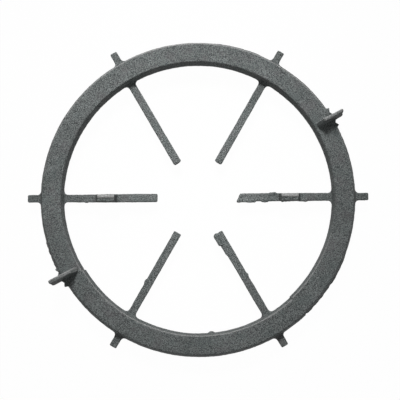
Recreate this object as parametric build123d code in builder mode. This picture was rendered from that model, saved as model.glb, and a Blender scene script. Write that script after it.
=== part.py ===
from build123d import *
import os
from math import cos, degrees, radians, sin, tan

# A round burner grate, cast in one piece. It lies as it is photographed, underside up: the pan edges
# of its bars rest on the plane Z = 0, and Z is the axis of its ring. The parting plane, where the two
# halves of the mould met, holds the flat underside of the bars and the widest outline of the ring.
# Lengths are in millimetres, and angles in degrees, anticlockwise from +X.

# Levels
bar_depth = 9.5  # pan edge of a bar to the parting plane
ring_back_depth = 3.0  # parting plane to the ring's back, on the pan side
ring_seat_height = 6.5  # parting plane to the face that the ring sits on
fin_height = 10.0  # seat face to the crest of a fin

# Ring, measured at the parting plane
ring_outer_radius = 105.3
ring_width = 15.75
ring_inner_draft = 12.6
ring_outer_draft = 16.1
ring_back_draft = 5.0
seat_edge_radius = 0.6
back_edge_chamfer = 0.8

# The stretch of the ring that came out of true: it steps in, swings out and steps back at its end
swing_start_gap = 0.31  # end of the fillet at the second fin's foot to the step
swing_end_angle = 312.2
swing_direction = 297.0
swing_centre_shift = 1.7  # ring's axis to the centre of this stretch, in the swing's direction
swing_radius_loss = 1.0

# Bars, each a finger inside the ring and a tab outside it
bar_count = 6
finger_tip_radius = 27.0
finger_tip_width = 5.5
tab_length = 8.7
tab_end_width = 5.0
bar_draft = 4.0
bar_corner_radius = 0.8
bar_pan_chamfer = 0.5
root_fillet_radius = 2.4
root_fillet_depth = 1.8  # parting plane to the bottom of the fillets at a bar's roots

# Two locating fins, each a drafted plate on the seat face that reaches past the ring
fin_angles = (30.3, 210.3)  # where the middle of a crest lies
fin_turns = (-1.7, -3.2)  # how far a plate is turned from the radial line there
fin_overhangs = (5.9, 6.8)  # ring's outer outline to the end of a crest
fin_crest_setback = 7.7  # ring's inner outline to the start of the crest
fin_crest_thickness = 2.3
fin_inner_slope = 25.6
fin_draft = 2.3
fin_tip_rounding = 0.9
fin_crest_rounding = 0.45

# The thicker foot of a fin, outside the ring, and the pointed ears of the ring's wall beside it
foot_thickness = 4.1
foot_drop = 1.3  # seat face to the ledge on top of the foot
foot_corner_radius = 0.8
foot_fillet_radius = 1.5
ear_reach = 0.7
ear_tip_offset = 3.5
ear_back_offset = 4.2
ear_front_offset = 0.6
ear_drop = 0.6  # seat face to the top of an ear

# Locating stubs under two opposite fingers: a rib on a foot, the rib nearer the +Y side
stub_setback = 27.0  # finger tip to the start of the stub
stub_length = 14.4
stub_height = 6.5
stub_end_slope = 14.0
stub_side_slope = 4.5
stub_rib_thickness = 3.1
stub_foot_height = 3.4
stub_edge_gap = 0.3  # bare strip of the finger along the rib
stub_overhang = 0.25  # how far the foot passes the other edge of the finger
stub_crest_rounding = 0.4

# Worked-out levels and radii
parting_level = bar_depth
back_level = parting_level - ring_back_depth
seat_level = parting_level + ring_seat_height
crest_level = seat_level + fin_height
ledge_level = seat_level - foot_drop
parting_plane = Plane.XY.offset(parting_level)
ring_inner_radius = ring_outer_radius - ring_width
tab_end_radius = ring_outer_radius + tab_length
wall_lap = 0.3  # how far a piece on a wall of the ring is set into it
swing_start_reach = foot_thickness / 2 + foot_fillet_radius + swing_start_gap
swing_start_angle = fin_angles[1] + degrees(swing_start_reach / ring_outer_radius)


def polar(radius, angle):
    """Point in plan at a radius and an angle."""
    return (radius * cos(radians(angle)), radius * sin(radians(angle)))


def in_plan(vertex):
    """Where a vertex lies when seen along Z."""
    return Vector(vertex.X, vertex.Y)


def lean(height, angle):
    """How far a wall leans over a height at a draft angle."""
    return height * tan(radians(angle))


def upright_plane(angle, centre=(0, 0)):
    """Plane through an upright axis at centre: its x runs outward at the angle, its y runs up."""
    along = polar(1, angle)
    return Plane(origin=(*centre, 0), x_dir=(*along, 0), z_dir=(along[1], -along[0], 0))


def ring_section(plane, radius_loss=0.0):
    """Section of the ring: widest at the parting plane, drafted both ways, with broken edges."""
    inner = ring_inner_radius - radius_loss
    outer = ring_outer_radius - radius_loss
    inner_lean = lean(ring_seat_height, ring_inner_draft)
    outer_lean = lean(ring_seat_height, ring_outer_draft)
    back_lean = lean(ring_back_depth, ring_back_draft)
    with BuildSketch(plane) as section:
        with BuildLine():
            Polyline(
                (inner, parting_level),
                (inner + inner_lean, seat_level),
                (outer - outer_lean, seat_level),
                (outer, parting_level),
                (outer - back_lean, back_level),
                (inner + back_lean, back_level),
                close=True,
            )
        make_face()
        fillet(section.vertices().group_by(Axis.Y)[-1], seat_edge_radius)
        chamfer(section.vertices().group_by(Axis.Y)[0], back_edge_chamfer)
    return section.sketch


def build_ring():
    """The true arc of the ring, and between its ends the arc that swings out of true."""
    run_past_ends = 5.0
    swing_arc = swing_end_angle - swing_start_angle
    swing_centre = polar(swing_centre_shift, swing_direction)
    swing_axis = Axis((*swing_centre, 0), (0, 0, 1))
    with BuildPart() as swing:
        section_plane = upright_plane(swing_end_angle + run_past_ends, swing_centre)
        section = ring_section(section_plane, swing_radius_loss)
        revolve(section, axis=swing_axis, revolution_arc=-swing_arc - 2 * run_past_ends)
        split(bisect_by=upright_plane(swing_start_angle), keep=Keep.BOTTOM)
        split(bisect_by=upright_plane(swing_end_angle), keep=Keep.TOP)
    with BuildPart() as ring:
        section = ring_section(upright_plane(swing_end_angle))
        revolve(section, axis=Axis.Z, revolution_arc=360 - swing_arc)
        add(swing.part)
    return ring.part


def ring_disc(radius):
    """Disc in plan inside one edge of the ring, out of true along the swing."""
    middle_angle = (swing_start_angle + swing_end_angle) / 2
    wedge_angles = (swing_start_angle, middle_angle, swing_end_angle)
    wedge = [(0, 0)] + [polar(2 * radius, angle) for angle in wedge_angles]
    with BuildSketch(parting_plane) as swing:
        with Locations(polar(swing_centre_shift, swing_direction)):
            Circle(radius - swing_radius_loss)
        Polygon(*wedge, align=None, mode=Mode.INTERSECT)
    with BuildSketch(parting_plane) as disc:
        Circle(radius)
        Polygon(*wedge, align=None, mode=Mode.SUBTRACT)
        add(swing.sketch)
    return disc.sketch


def ring_band(inset=0.0):
    """Outline of the ring at the parting plane, or a narrower band inside it."""
    with BuildSketch(parting_plane) as band:
        add(ring_disc(ring_outer_radius - inset))
        add(ring_disc(ring_inner_radius + inset), mode=Mode.SUBTRACT)
    return band.sketch


def root_fillets(arms, radius, lap):
    """Plan of the fillets where arms meet the ring's walls, reaching the lap into the ring."""
    known_points = [in_plan(vertex) for vertex in ring_band().vertices() + arms.vertices()]
    with BuildSketch(parting_plane) as reach:
        add(arms)
        offset(amount=radius)
        add(ring_band(-radius), mode=Mode.INTERSECT)
    with BuildSketch(parting_plane) as plan:
        add(ring_band())
        add(arms)
        corners = [
            vertex
            for vertex in plan.vertices()
            if min((in_plan(vertex) - point).length for point in known_points) > wall_lap
        ]
        fillet(corners, radius)
        add(reach.sketch, mode=Mode.INTERSECT)
        add(ring_band(lap), mode=Mode.SUBTRACT)
    return plan.sketch


def bar_width(radius):
    """Width of a bar at the parting plane: it narrows from the finger tip to the tab end."""
    share = (radius - finger_tip_radius) / (tab_end_radius - finger_tip_radius)
    return finger_tip_width + (tab_end_width - finger_tip_width) * share


def build_bars():
    """Every bar, drafted from the parting plane to its pan edge, with fillets at its roots."""
    with BuildSketch(parting_plane) as outline:
        with BuildLine():
            Polyline(
                (finger_tip_radius, -finger_tip_width / 2),
                (tab_end_radius, -tab_end_width / 2),
                (tab_end_radius, tab_end_width / 2),
                (finger_tip_radius, finger_tip_width / 2),
                close=True,
            )
        make_face()
    with BuildPart() as bar:
        extrude(outline.sketch, amount=bar_depth, taper=bar_draft)
        top_and_bottom = bar.edges().group_by(Axis.Z)
        fillet(bar.edges() - top_and_bottom[0] - top_and_bottom[-1], bar_corner_radius)
        chamfer(bar.edges().group_by(Axis.Z)[-1], bar_pan_chamfer)
        mirror(about=parting_plane, mode=Mode.REPLACE)
    with BuildSketch(parting_plane) as arms:
        with PolarLocations(0, bar_count):
            add(outline.sketch_local)
    roots = root_fillets(arms.sketch, root_fillet_radius, wall_lap)
    with BuildPart() as bars:
        with PolarLocations(0, bar_count):
            add(bar.part)
        extrude(roots, amount=-root_fillet_depth)
    return bars.part


def build_fin(angle, turn, overhang):
    """Locating fin: the plate on the seat face, its foot outside the ring, the ears beside it."""
    plate_height = crest_level - ledge_level
    side_lean = lean(plate_height, fin_draft)
    inner_lean = lean(plate_height, fin_inner_slope)
    foot_height = ledge_level - parting_level
    foot_lap = lean(ring_seat_height, ring_outer_draft) + wall_lap
    crest_start = ring_inner_radius + fin_crest_setback
    crest_end = ring_outer_radius + overhang
    crest_middle = (crest_start + crest_end) / 2
    place = Pos(*polar(crest_middle, angle)) * Rot(0, 0, angle + turn) * Pos(-crest_middle, 0)
    foot_start = ring_outer_radius - foot_lap
    foot_end = crest_end + side_lean
    with BuildPart() as plate:
        for level, start, end, thickness in (
            (ledge_level, crest_start - inner_lean, foot_end, fin_crest_thickness + 2 * side_lean),
            (crest_level, crest_start, crest_end, fin_crest_thickness),
        ):
            with BuildSketch(Plane.XY.offset(level)):
                with Locations(((start + end) / 2, 0)):
                    Rectangle(end - start, thickness)
        loft(ruled=True)
        end_edges = plate.faces().sort_by(Axis.X)[-1].edges().sort_by(Axis.Y)
        fillet([end_edges[0], end_edges[-1]], fin_tip_rounding)
        fillet(plate.edges().group_by(Axis.Z)[-1], fin_crest_rounding)
    with BuildSketch(parting_plane) as foot:
        with Locations(((foot_start + foot_end) / 2, 0)):
            Rectangle(foot_end - foot_start, foot_thickness)
        fillet(foot.vertices().group_by(Axis.X)[-1], foot_corner_radius)
    with BuildSketch(parting_plane) as ears:
        for side in (-1, 1):
            Polygon(
                polar(foot_start, angle + side * ear_back_offset),
                polar(ring_outer_radius + ear_reach, angle + side * ear_tip_offset),
                polar(foot_start, angle + side * ear_front_offset),
                align=None,
            )
    placed_foot = place * foot.sketch
    with BuildPart() as fin:
        add(place * plate.part)
        extrude(placed_foot, amount=foot_height)
        extrude(root_fillets(placed_foot, foot_fillet_radius, foot_lap), amount=foot_height)
        extrude(ears.sketch, amount=ring_seat_height - ear_drop)
    return fin.part


def build_stub(side):
    """Locating stub under the finger on one side, +1 towards +X: a foot with a rib on it."""
    stub_start = finger_tip_radius + stub_setback
    finger_width = bar_width(stub_start + stub_length)
    foot_width = finger_width - stub_edge_gap + stub_overhang
    foot_offset = -(stub_edge_gap + stub_overhang) / 2
    rib_offset = (finger_width - stub_rib_thickness) / 2 - stub_edge_gap
    middle = side * (stub_start + stub_length / 2)
    with BuildPart() as stub:
        for width, offset_y, height in (
            (foot_width, foot_offset, stub_foot_height),
            (stub_rib_thickness, rib_offset, stub_height),
        ):
            with BuildSketch(parting_plane):
                with Locations((middle, offset_y)):
                    Rectangle(stub_length, width)
            with BuildSketch(Plane.XY.offset(parting_level + height)):
                with Locations((middle, offset_y)):
                    Rectangle(
                        stub_length - 2 * lean(height, stub_end_slope),
                        width - 2 * lean(height, stub_side_slope),
                    )
            loft(ruled=True)
        fillet(stub.edges().group_by(Axis.Z)[-1], stub_crest_rounding)
    return stub.part


with BuildPart() as burner_grate:
    add(build_bars())
    add(build_ring())
    for fin_angle, fin_turn, fin_overhang in zip(fin_angles, fin_turns, fin_overhangs):
        add(build_fin(fin_angle, fin_turn, fin_overhang))
    for stub_side in (1, -1):
        add(build_stub(stub_side))

burner_grate.part.label = "burner_grate"
os.makedirs("parts", exist_ok=True)
export_step(burner_grate.part, "parts/burner_grate.step")
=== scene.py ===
from math import atan, cos, radians, sin, tan

import bmesh
import bpy
import numpy as np
from mathutils import Matrix, Vector, noise


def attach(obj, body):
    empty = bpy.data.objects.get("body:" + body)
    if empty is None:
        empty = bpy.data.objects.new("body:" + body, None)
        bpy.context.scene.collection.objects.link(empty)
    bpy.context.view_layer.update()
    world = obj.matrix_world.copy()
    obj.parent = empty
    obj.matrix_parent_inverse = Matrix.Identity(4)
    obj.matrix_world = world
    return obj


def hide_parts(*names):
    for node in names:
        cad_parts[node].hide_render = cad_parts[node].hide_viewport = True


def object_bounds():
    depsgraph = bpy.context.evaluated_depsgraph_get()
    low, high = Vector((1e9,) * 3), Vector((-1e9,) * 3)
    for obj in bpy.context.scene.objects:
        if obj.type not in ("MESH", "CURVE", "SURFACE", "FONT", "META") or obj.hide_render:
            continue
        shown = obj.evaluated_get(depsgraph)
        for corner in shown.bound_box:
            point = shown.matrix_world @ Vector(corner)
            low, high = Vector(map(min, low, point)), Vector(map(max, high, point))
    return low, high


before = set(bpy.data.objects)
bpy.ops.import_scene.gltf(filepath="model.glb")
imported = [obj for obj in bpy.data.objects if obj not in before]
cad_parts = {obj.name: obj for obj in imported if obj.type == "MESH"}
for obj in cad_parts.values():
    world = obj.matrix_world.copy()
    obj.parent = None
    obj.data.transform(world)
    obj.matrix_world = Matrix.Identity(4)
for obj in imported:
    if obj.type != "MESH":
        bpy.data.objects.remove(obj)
cad_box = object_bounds()

# A sand-cast burner grate that lies with its underside up. Lengths are in millimetres, in the frame of
# the CAD model, apart from the lamp's place, target and size and the floor's size, which are in metres.
# Angles are in degrees, anticlockwise from +X.
MM = 0.001

# Sizes of the CAD model that the looks refer to, some of them rounded
PARTING_LEVEL = 9.5
SEAT_LEVEL = 16.0
CREST_LEVEL = 26.0
FIN_LEDGE_LEVEL = 14.7
STUB_START_RADIUS = 54.0
STUB_LENGTH = 14.4
STUB_END_SLOPE = 14.0
STUB_SIDE_SLOPE = 4.5
STUB_FOOT_WIDTH = 5.2
STUB_FOOT_OFFSET = -0.275
RING_OUTER_RADIUS = 105.3
RING_INNER_RADIUS = 89.55
SEAT_INNER_RADIUS = 91.0
STEP_ANGLE = 212.4
FINGER_TIP_RADIUS = 27.0
FINGER_TIP_WIDTH = 5.5

# Top of a stub's foot as its thin shadow line shows it, 2.3 above the foot of the CAD model
STUB_FOOT_LEVEL = 15.2

# Even mesh that carries the casting's roughness, and how many triangles of it are kept
VOXEL_SIZE = 0.4
TRIANGLES_KEPT = 190000

# Roughness of the cast skin: size of the features and how far they stand out
SKIN_LAYERS = (
    {"size": 28.0, "height": 0.16, "octaves": 2, "seed": 3.7},
    {"size": 5.0, "height": 0.09, "octaves": 2, "seed": 11.3},
    {"size": 1.5, "height": 0.09, "octaves": 3, "seed": 23.9},
)

# Flash along the parting plane, where iron ran between the two halves of the mould. Side 1 is the
# anticlockwise edge of a finger and -1 the other; start and end are radii on a finger, angles on the ring.
FLASH_STEP = 0.4
EDGE_LAP = 1.2
BAR_FLASH = (
    {"angle": 0.0, "side": -1, "start": 26.8, "end": 39.0, "reach": 1.05, "unevenness": 0.3},
    {"angle": 0.0, "side": -1, "start": 42.0, "end": 47.4, "reach": 1.15, "unevenness": 0.5},
    {"angle": 0.0, "side": -1, "start": 55.2, "end": 62.4, "reach": 0.75, "unevenness": 0.9},
    {"angle": 0.0, "side": -1, "start": 66.5, "end": 73.5, "reach": 0.45, "unevenness": 0.6},
    {"angle": 0.0, "side": 1, "start": 47.6, "end": 52.6, "reach": 0.75, "unevenness": 0.5},
    {"angle": 180.0, "side": 1, "start": 72.8, "end": 76.0, "reach": 0.5, "unevenness": 0.4},
    {"angle": 240.0, "side": -1, "start": 64.0, "end": 67.4, "reach": 0.6, "unevenness": 0.4},
    {
        "angle": 300.0, "side": -1, "start": 26.7, "end": 36.0, "reach": 1.7, "unevenness": 0.1,
        "thickness": 2.4,
    },
    {"angle": 300.0, "side": -1, "start": 35.0, "end": 43.6, "reach": 0.7, "unevenness": 0.3},
    {"angle": 300.0, "side": 1, "start": 59.8, "end": 62.2, "reach": 0.45, "unevenness": 0.3},
)
RING_FLASH = (
    {"start": 312.6, "end": 338.0, "reach": 0.55, "unevenness": 0.7},
    {"start": 196.0, "end": 208.0, "reach": 0.45, "unevenness": 0.9},
    {"start": 66.0, "end": 84.0, "reach": 0.35, "unevenness": 0.9},
)

# Lump half sunk in the ring's inner wall, which is out of true here
NUB_ANGLE = 275.4
NUB_RADIUS = RING_INNER_RADIUS + 0.7
NUB_HALF_SIZES = (2.2, 1.2, 1.2)

# Row of small beads on the seat beside the step, outwards from the seat's inner edge
BEAD_COUNT = 4
BEAD_SPACING = 1.2
BEAD_START_RADIUS = SEAT_INNER_RADIUS + 0.5
BEAD_ANGLE = STEP_ANGLE - 0.3
BEAD_LEVEL = SEAT_LEVEL - 0.1
BEAD_HALF_SIZES = (0.6, 0.6, 0.5)

# Nothing but fingers and stubs lies nearer the middle than this
OPENING_RADIUS = RING_INNER_RADIUS - 5.0

# How bare the iron is on a fin's crest and how much of that is lost by its tip, and how much painted light
# lightens a fin's ledge, which lies in the fin's shadow
FIN_BARENESS = 0.4
FIN_TIP_LOSS = 0.15
LEDGE_PAINTED_LIGHT = 0.5

# Share of the skin's roughness that is rubbed off where the iron is bare or a fin's ledge has painted
# light
ROUGHNESS_LOST = 0.7

# How far an edge stands out from the points around it where its wear and painted highlight start, and
# where they are full
WEAR_AND_HIGHLIGHT_START = 0.006
WEAR_AND_HIGHLIGHT_FULL = 0.022

# Colours of the iron: pairs go from the dark grains to the light ones
SKIN_GREYS = ((0.026, 0.031, 0.031, 1.0), (0.262, 0.284, 0.280, 1.0))
# Rubbed iron on worn edges, also a painted highlight on the edges that face the lamp at +Y
RUBBED_AND_HIGHLIGHT_GREYS = ((0.230, 0.232, 0.230, 1.0), (0.470, 0.474, 0.470, 1.0))
# Bare iron on the crests, also painted light on the fins' ledges, which lie in shadow
BARE_OR_LIT_GREYS = ((0.290, 0.294, 0.290, 1.0), (0.500, 0.506, 0.500, 1.0))
PURPLE_TINT = (0.148, 0.138, 0.144, 1.0)
TEAL_TINT = (0.118, 0.146, 0.144, 1.0)

# Floor and surroundings
FLOOR_GAP = 0.05
FLOOR_WHITE_SHARE = 0.985
FILL_STRENGTH = 0.11

# Camera, fitted to the photograph: distances from the middle of the parting plane, turns about the
# axes, and half the width that it sees at a distance of 1
CAMERA_SHIFT = (-1.39, 1.64)
CAMERA_DISTANCE = 669.0
CAMERA_TURNS = {"Y": -0.34, "X": -4.98, "Z": 0.38}
HALF_VIEW = 0.2


def polar(radius, angle, level=0.0):
    """Point at a radius, an angle and a level."""
    return Vector((radius * cos(radians(angle)), radius * sin(radians(angle)), level))


def ragged(place, seed, size=3.0):
    """Uneven number from 0 to 1 that changes smoothly with a place along an edge."""
    return min(1.0, max(0.0, 0.5 + noise.fractal(Vector((place / size, seed, 0.0)), 1.0, 2.0, 3)))


def flash_depths(length, reach, unevenness, seed, rise=0.9):
    """How far flash stands out at each step along its run: it rises at one end and falls at the other."""
    steps = max(2, round(length / FLASH_STEP))
    for index in range(steps + 1):
        place = length * index / steps
        ramp = min(1.0, place / rise, (length - place) / rise)
        yield place, reach * ramp * (1.0 - unevenness * ragged(place, seed))


def points_at(shapes, outline, level):
    """Adds the points of an outline in plan at a level."""
    return [shapes.verts.new((x * MM, y * MM, level * MM)) for x, y in outline]


def close_between(shapes, low, high):
    """Closes the solid between a lower and an upper ring of points."""
    shapes.faces.new(low[::-1])
    shapes.faces.new(high)
    for index in range(len(low)):
        after = (index + 1) % len(low)
        shapes.faces.new((low[index], low[after], high[after], high[index]))


def add_plate(shapes, outline, thickness):
    """Adds a thin closed plate over an outline in plan, half above and half below the parting plane."""
    low = points_at(shapes, outline, PARTING_LEVEL - thickness / 2)
    high = points_at(shapes, outline, PARTING_LEVEL + thickness / 2)
    close_between(shapes, low, high)


def add_lump(shapes, centre, radii):
    """Adds a rounded lump of iron."""
    place = Matrix.LocRotScale(centre * MM, None, Vector(radii) * MM)
    bmesh.ops.create_icosphere(shapes, subdivisions=3, radius=1.0, matrix=place)


def add_stub_foot(shapes, side):
    """Raises the foot of the stub on one side, +1 towards +X, to the height that its shadow line shows."""
    middle = side * (STUB_START_RADIUS + STUB_LENGTH / 2)
    corners = ((-1, -1), (1, -1), (1, 1), (-1, 1))
    rings = []
    for level in (PARTING_LEVEL, STUB_FOOT_LEVEL):
        rise = level - PARTING_LEVEL
        half_length = STUB_LENGTH / 2 - rise * tan(radians(STUB_END_SLOPE))
        half_width = STUB_FOOT_WIDTH / 2 - rise * tan(radians(STUB_SIDE_SLOPE))
        outline = [(middle + x * half_length, STUB_FOOT_OFFSET + y * half_width) for x, y in corners]
        rings.append(points_at(shapes, outline, level))
    close_between(shapes, *rings)


def add_bar_flash(shapes, angle, side, start, end, reach, unevenness, thickness=0.9):
    """Adds ragged flash along one edge of a finger."""
    along = polar(1.0, angle)
    across = polar(side, angle + 90.0)
    half_width = FINGER_TIP_WIDTH / 2
    outer, inner = [], []
    for place, depth in flash_depths(end - start, reach, unevenness, seed=angle + side * start):
        outer.append((along * (start + place) + across * (half_width + depth)).xy)
        inner.append((along * (start + place) + across * (half_width - EDGE_LAP)).xy)
    add_plate(shapes, outer + inner[::-1], thickness)


def add_ring_flash(shapes, start, end, reach, unevenness, thickness=0.9):
    """Adds ragged flash along the ring's outer edge."""
    length = radians(end - start) * RING_OUTER_RADIUS
    length_per_degree = radians(RING_OUTER_RADIUS)
    outer, inner = [], []
    for place, depth in flash_depths(length, reach, unevenness, seed=start):
        around = polar(1.0, start + place / length_per_degree)
        outer.append((around * (RING_OUTER_RADIUS + depth)).xy)
        inner.append((around * (RING_OUTER_RADIUS - EDGE_LAP)).xy)
    add_plate(shapes, outer + inner[::-1], thickness)


def flaws_mesh():
    """Flash, lumps and higher stub feet that the casting shows, to be fused with it."""
    shapes = bmesh.new()
    for side in (1, -1):
        add_stub_foot(shapes, side)
    for run in BAR_FLASH:
        add_bar_flash(shapes, **run)
    for run in RING_FLASH:
        add_ring_flash(shapes, **run)
    add_lump(shapes, polar(NUB_RADIUS, NUB_ANGLE, PARTING_LEVEL), NUB_HALF_SIZES)
    for index in range(BEAD_COUNT):
        radius = BEAD_START_RADIUS + BEAD_SPACING * index
        add_lump(shapes, polar(radius, BEAD_ANGLE, BEAD_LEVEL), BEAD_HALF_SIZES)
    mesh = bpy.data.meshes.new("flaws")
    shapes.to_mesh(mesh)
    shapes.free()
    return mesh


def modified(piece, kind, **settings):
    """Applies one modifier to a piece's mesh."""
    modifier = piece.modifiers.new(kind.lower(), kind)
    for name, value in settings.items():
        setattr(modifier, name, value)
    made = bpy.data.meshes.new_from_object(piece.evaluated_get(bpy.context.evaluated_depsgraph_get()))
    piece.modifiers.clear()
    piece.data = made


def read_points(mesh):
    """Points of a mesh and their normals; the points are in millimetres."""
    points = np.empty(len(mesh.vertices) * 3)
    mesh.vertices.foreach_get("co", points)
    normals = np.empty(len(mesh.vertices) * 3)
    mesh.vertices.foreach_get("normal", normals)
    return points.reshape(-1, 3) / MM, normals.reshape(-1, 3)


def write_points(mesh, points):
    """Puts points in millimetres back into a mesh."""
    mesh.vertices.foreach_set("co", (points * MM).ravel())
    mesh.update()


def skin_height(points, size, height, octaves, seed):
    """Height of one layer of the rough skin at each point."""
    offset = Vector((seed, -seed, 2 * seed))
    layer = [noise.fractal(Vector(point) / size + offset, 1.0, 2.0, octaves) for point in points]
    return height * np.array(layer)


def ease(values, start, end):
    """0 before start, 1 after end, smooth between them."""
    share = np.clip((values - start) / (end - start), 0.0, 1.0)
    return share * share * (3.0 - 2.0 * share)


def slant_tip(points):
    """Slants the tip of the finger at 0 degrees, as its casting shows it."""
    slant, fade_start, fade_end = 0.4, FINGER_TIP_RADIUS + 1.0, FINGER_TIP_RADIUS + 7.0
    on_finger = (np.abs(points[:, 1]) < FINGER_TIP_WIDTH) & (points[:, 0] > 0)
    fade = 1 - ease(points[:, 0], fade_start, fade_end)
    points[:, 0] += np.where(on_finger, slant * points[:, 1] * fade, 0.0)


def near_level(points, level):
    """1 for points at a level, fading to 0 just above and below it."""
    from_below = ease(points[:, 2], level - 0.7, level - 0.2)
    from_above = 1.0 - ease(points[:, 2], level + 0.3, level + 0.9)
    return from_below * from_above


def bare_or_lit_share(points):
    """How bare the iron is on the crests of the fins and stubs, and painted light on the fins' ledges,
    which lie in shadow, from 0 to 1.
    """
    radius = np.hypot(points[:, 0], points[:, 1])
    towards_tip = ease(radius, RING_OUTER_RADIUS - 4.0, RING_OUTER_RADIUS + 3.0)
    fin_share = FIN_BARENESS - FIN_TIP_LOSS * towards_tip
    fins = fin_share * ease(points[:, 2], CREST_LEVEL - 0.9, CREST_LEVEL - 0.35)
    stubs = ease(points[:, 2], SEAT_LEVEL - 0.6, SEAT_LEVEL - 0.2) * (radius < OPENING_RADIUS)
    outside_ring = radius > RING_OUTER_RADIUS + 0.5
    # Painted light: the fins' ledges lie in the fins' shadow
    lit_fin_ledges = LEDGE_PAINTED_LIGHT * near_level(points, FIN_LEDGE_LEVEL) * outside_ring
    return np.maximum.reduce((fins, stubs, lit_fin_ledges))


def steep_shade_share(points, normals):
    """Painted shade that darkens the steep outer walls, the fingers' sides and the stubs' ends, from 0 to
    1.
    """
    radius = np.hypot(points[:, 0], points[:, 1])
    off_inner_wall = (radius > RING_OUTER_RADIUS - 3.0) | (radius < OPENING_RADIUS)
    return (1.0 - ease(np.abs(normals[:, 2]), 0.4, 0.75)) * off_inner_wall


def wear_and_highlight_share(mesh, points, normals):
    """Wear on each outward edge of the underside, with a painted highlight: kept only where the edge faces
    the lamp at +Y, from 0 to 1.
    """
    pairs = np.empty(2 * len(mesh.edges), dtype=np.int64)
    mesh.edges.foreach_get("vertices", pairs)
    pairs = pairs.reshape(-1, 2)
    here = np.concatenate((pairs[:, 0], pairs[:, 1]))
    there = np.concatenate((pairs[:, 1], pairs[:, 0]))
    neighbours = np.bincount(here, minlength=len(points))

    def around(values):
        """Mean of the values at each point's neighbours."""
        return np.bincount(here, weights=values[there], minlength=len(points)) / neighbours

    middles = np.stack([around(points[:, axis]) for axis in range(3)], axis=1)
    bulge = ((points - middles) * normals).sum(axis=1)
    smoothing_passes = 2
    for _ in range(smoothing_passes):
        bulge = around(bulge)
    on_underside = ease(points[:, 2], SEAT_LEVEL - 1.2, SEAT_LEVEL - 0.3)
    # Painted highlight: edges count only where they face the lamp at +Y
    facing_lamp = ease(normals[:, 1], 0.05, 0.45)
    return ease(bulge, WEAR_AND_HIGHLIGHT_START, WEAR_AND_HIGHLIGHT_FULL) * on_underside * facing_lamp


def store(mesh, name, values):
    """Keeps one number per point in the mesh, for the material to read."""
    attribute = mesh.attributes.new(name, "FLOAT", "POINT")
    attribute.data.foreach_set("value", values.astype(np.float32))


def make_casting(node):
    """Rough casting over the CAD node's shape, with its flaws."""
    casting = bpy.data.objects.new("burner_grate_casting", node.data.copy())
    casting.data.materials.clear()
    bpy.context.scene.collection.objects.link(casting)
    joined = bmesh.new()
    joined.from_mesh(casting.data)
    joined.from_mesh(flaws_mesh())
    joined.to_mesh(casting.data)
    joined.free()
    modified(casting, "REMESH", mode="VOXEL", voxel_size=VOXEL_SIZE * MM)
    points, normals = read_points(casting.data)
    store(casting.data, "wear_and_highlight", wear_and_highlight_share(casting.data, points, normals))
    skin = sum(skin_height(points, **layer) for layer in SKIN_LAYERS)
    skin *= 1.0 - ROUGHNESS_LOST * bare_or_lit_share(points)
    points += normals * skin[:, None]
    slant_tip(points)
    write_points(casting.data, points)
    triangles = 2 * len(casting.data.polygons)
    modified(casting, "DECIMATE", ratio=min(1.0, TRIANGLES_KEPT / triangles))
    points, normals = read_points(casting.data)
    points = np.clip(points, np.array(cad_box[0]) / MM, np.array(cad_box[1]) / MM)
    write_points(casting.data, points)
    casting.data.polygons.foreach_set("use_smooth", [True] * len(casting.data.polygons))
    store(casting.data, "bare_or_lit", bare_or_lit_share(points))
    store(casting.data, "steep_shade", steep_shade_share(points, normals))
    return casting


class Nodes:
    """Small helper that adds and joins the nodes of one material or world."""

    def __init__(self, tree):
        self.tree = tree

    def add(self, kind, settings=None, **inputs):
        """Adds a node; an underscore in an input's name stands for a space."""
        node = self.tree.nodes.new(kind)
        for name, value in (settings or {}).items():
            setattr(node, name, value)
        for name, value in inputs.items():
            self.put(node.inputs[name.replace("_", " ")], value)
        return node

    def put(self, socket, value):
        """Links another node's output to an input, or sets the input to a plain value."""
        if isinstance(value, bpy.types.NodeSocket):
            self.tree.links.new(value, socket)
        else:
            socket.default_value = value

    def noise(self, where, size, detail, roughness=0.5):
        """Noise from 0 to 1 with features of a size in millimetres."""
        texture = self.add(
            "ShaderNodeTexNoise", Vector=where, Scale=1.0 / (size * MM), Detail=detail, Roughness=roughness
        )
        return texture.outputs["Fac"]

    def spread(self, value, low, high, to_low, to_high):
        """Maps a value from one range to another and keeps it inside."""
        node = self.add("ShaderNodeMapRange", Value=value)
        ends = {"From Min": low, "From Max": high, "To Min": to_low, "To Max": to_high}
        for name, number in ends.items():
            node.inputs[name].default_value = number
        return node.outputs["Result"]

    def mix(self, share, first, second):
        """Colour between two colours."""
        node = self.add("ShaderNodeMix", {"data_type": "RGBA"})
        share_input, first_colour, second_colour, mixed_colour = 0, 6, 7, 2
        self.put(node.inputs[share_input], share)
        self.put(node.inputs[first_colour], first)
        self.put(node.inputs[second_colour], second)
        return node.outputs[mixed_colour]

    def math(self, operation, first, second):
        """Result of one operation on two values."""
        node = self.add("ShaderNodeMath", {"operation": operation})
        self.put(node.inputs[0], first)
        self.put(node.inputs[1], second)
        return node.outputs[0]


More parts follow.
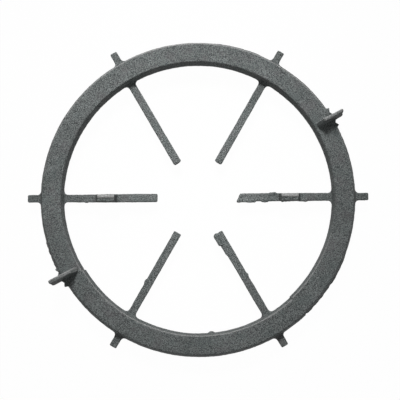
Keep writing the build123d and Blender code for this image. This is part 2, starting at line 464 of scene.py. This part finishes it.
def cast_iron():
    """Matt grey cast iron: sandy grain, faint patches, pits, worn edges with a painted highlight where
    they face the lamp, painted shade on steep walls, bare iron on the crests and painted light on the
    fins' ledges.
    """
    material = bpy.data.materials.new("cast_iron")
    material.use_nodes = True
    nodes = Nodes(material.node_tree)
    shader = material.node_tree.nodes["Principled BSDF"]
    where = nodes.add("ShaderNodeTexCoord").outputs["Object"]
    bare_or_lit = nodes.add("ShaderNodeAttribute", {"attribute_name": "bare_or_lit"}).outputs["Fac"]
    wear_and_highlight = nodes.add("ShaderNodeAttribute", {"attribute_name": "wear_and_highlight"}).outputs["Fac"]
    steep_shade = nodes.add("ShaderNodeAttribute", {"attribute_name": "steep_shade"}).outputs["Fac"]
    speckle = nodes.noise(where, size=0.6, detail=3.0, roughness=0.75)
    patches = nodes.noise(where, size=17.0, detail=3.0)
    tint = nodes.noise(where, size=9.0, detail=2.0)
    pits = nodes.noise(where, size=2.2, detail=2.0)
    grain = nodes.spread(speckle, 0.42, 0.58, 0.0, 1.0)
    grey = nodes.mix(grain, *SKIN_GREYS)
    purple = nodes.mix(nodes.spread(tint, 0.54, 0.66, 0.0, 0.3), grey, PURPLE_TINT)
    teal = nodes.mix(nodes.spread(tint, 0.34, 0.46, 0.3, 0.0), purple, TEAL_TINT)
    shade = nodes.spread(patches, 0.35, 0.65, 0.88, 1.08)
    pit_shade = nodes.spread(pits, 0.26, 0.36, 0.72, 1.0)
    # Painted shade: steep walls, fingers' sides and stubs' ends darkened to 0.6 of their colour
    wall_shade = nodes.spread(steep_shade, 0.0, 1.0, 1.0, 0.6)
    tone = nodes.math("MULTIPLY", nodes.math("MULTIPLY", shade, pit_shade), wall_shade)
    toned = nodes.add("ShaderNodeHueSaturation", Color=teal, Value=tone)
    rubbed_and_highlight = nodes.mix(grain, *RUBBED_AND_HIGHLIGHT_GREYS)
    # Worn edges lighter, with a painted highlight where they face the lamp at +Y
    edged = nodes.mix(wear_and_highlight, toned.outputs["Color"], rubbed_and_highlight)
    bare_or_lit_grey = nodes.mix(grain, *BARE_OR_LIT_GREYS)
    # Bare iron on the crests, and painted light on the fins' shaded ledges
    nodes.put(shader.inputs["Base Color"], nodes.mix(bare_or_lit, edged, bare_or_lit_grey))
    nodes.put(shader.inputs["Roughness"], nodes.spread(speckle, 0.3, 0.7, 0.62, 0.78))
    shader.inputs["Specular IOR Level"].default_value = 0.35
    shader.inputs["Metallic"].default_value = 0.0
    coarse = nodes.add("ShaderNodeBump", Height=speckle, Strength=0.85, Distance=0.32 * MM)
    fine_height = nodes.noise(where, size=0.5, detail=2.0)
    fine = nodes.add("ShaderNodeBump", Height=fine_height, Strength=0.4, Distance=0.12 * MM)
    nodes.put(fine.inputs["Normal"], coarse.outputs["Normal"])
    nodes.put(shader.inputs["Normal"], fine.outputs["Normal"])
    return material


def clearly_seen(nodes):
    """1 for rays from the camera, from gloss and through glass, 0 for the rays that carry soft light."""
    path = nodes.add("ShaderNodeLightPath")
    seen = nodes.math("MAXIMUM", path.outputs["Is Camera Ray"], path.outputs["Is Glossy Ray"])
    return nodes.math("MAXIMUM", seen, path.outputs["Is Transmission Ray"])


def mixed(nodes, share, first, second):
    """Shader between two shaders."""
    node = nodes.add("ShaderNodeMixShader")
    for socket, value in zip(node.inputs, (share, first, second)):
        nodes.put(socket, value)
    return node.outputs[0]


def make_floor():
    """Plain white floor that keeps a trace of the grate's shadow and throws little light back at it."""
    shapes = bmesh.new()
    bmesh.ops.create_grid(shapes, x_segments=1, y_segments=1, size=3.0)
    mesh = bpy.data.meshes.new("floor")
    shapes.to_mesh(mesh)
    shapes.free()
    floor = bpy.data.objects.new("floor", mesh)
    floor.location.z = -FLOOR_GAP * MM
    bpy.context.scene.collection.objects.link(floor)
    material = bpy.data.materials.new("white_floor")
    material.use_nodes = True
    tree = material.node_tree
    output = tree.nodes["Material Output"]
    tree.nodes.remove(tree.nodes["Principled BSDF"])
    nodes = Nodes(tree)
    dim = nodes.add("ShaderNodeBsdfDiffuse", Color=(0.2, 0.2, 0.2, 1.0)).outputs[0]
    matt = nodes.add("ShaderNodeBsdfDiffuse", Color=(0.9, 0.9, 0.9, 1.0)).outputs[0]
    white = nodes.add("ShaderNodeEmission", Color=(1.0, 1.0, 1.0, 1.0), Strength=1.0).outputs[0]
    shown = mixed(nodes, FLOOR_WHITE_SHARE, matt, white)
    nodes.put(output.inputs["Surface"], mixed(nodes, clearly_seen(nodes), dim, shown))
    mesh.materials.append(material)


def make_world():
    """Surroundings that look white and light the grate softly."""
    world = bpy.data.worlds.new("studio")
    bpy.context.scene.world = world
    world.use_nodes = True
    tree = world.node_tree
    nodes = Nodes(tree)
    fill = tree.nodes["Background"]
    fill.inputs["Color"].default_value = (1.0, 1.0, 1.0, 1.0)
    fill.inputs["Strength"].default_value = FILL_STRENGTH
    white = nodes.add("ShaderNodeBackground", Color=(1.0, 1.0, 1.0, 1.0), Strength=1.0).outputs[0]
    surface = tree.nodes["World Output"].inputs["Surface"]
    nodes.put(surface, mixed(nodes, clearly_seen(nodes), fill.outputs[0], white))


def add_softbox(name, place, target, size, power, spread):
    """Square lamp of a power in watts that faces a target and sends its light within a spread."""
    light = bpy.data.lights.new(name, "AREA")
    light.size, light.energy, light.spread = size, power, radians(spread)
    lamp = bpy.data.objects.new(name, light)
    lamp.location = place
    lamp.rotation_euler = (Vector(target) - Vector(place)).to_track_quat("-Z", "Y").to_euler()
    bpy.context.scene.collection.objects.link(lamp)


def make_camera():
    """Camera above the underside, where the photographer's was."""
    turns = [Matrix.Rotation(radians(angle), 3, axis) for axis, angle in CAMERA_TURNS.items()]
    to_camera = turns[0] @ turns[1] @ turns[2]
    middle = Vector((0.0, 0.0, PARTING_LEVEL))
    place = middle - to_camera.transposed() @ Vector((*CAMERA_SHIFT, -CAMERA_DISTANCE))
    lens = bpy.data.cameras.new("camera")
    lens.angle = 2 * atan(HALF_VIEW)
    camera = bpy.data.objects.new("camera", lens)
    camera.matrix_world = Matrix.Translation(place * MM) @ to_camera.transposed().to_4x4()
    bpy.context.scene.collection.objects.link(camera)
    bpy.context.scene.camera = camera


casting = make_casting(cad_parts["burner_grate"])
casting.data.materials.append(cast_iron())
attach(casting, "root")
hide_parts("burner_grate")

make_floor()
make_world()
add_softbox(
    "key_softbox",
    place=(-0.04, 0.47, 0.55),
    target=(-0.008, 0.03, 0.0),
    size=0.245,
    power=0.215,
    spread=24.0,
)
make_camera()
bpy.context.scene.view_settings.view_transform = "Standard"
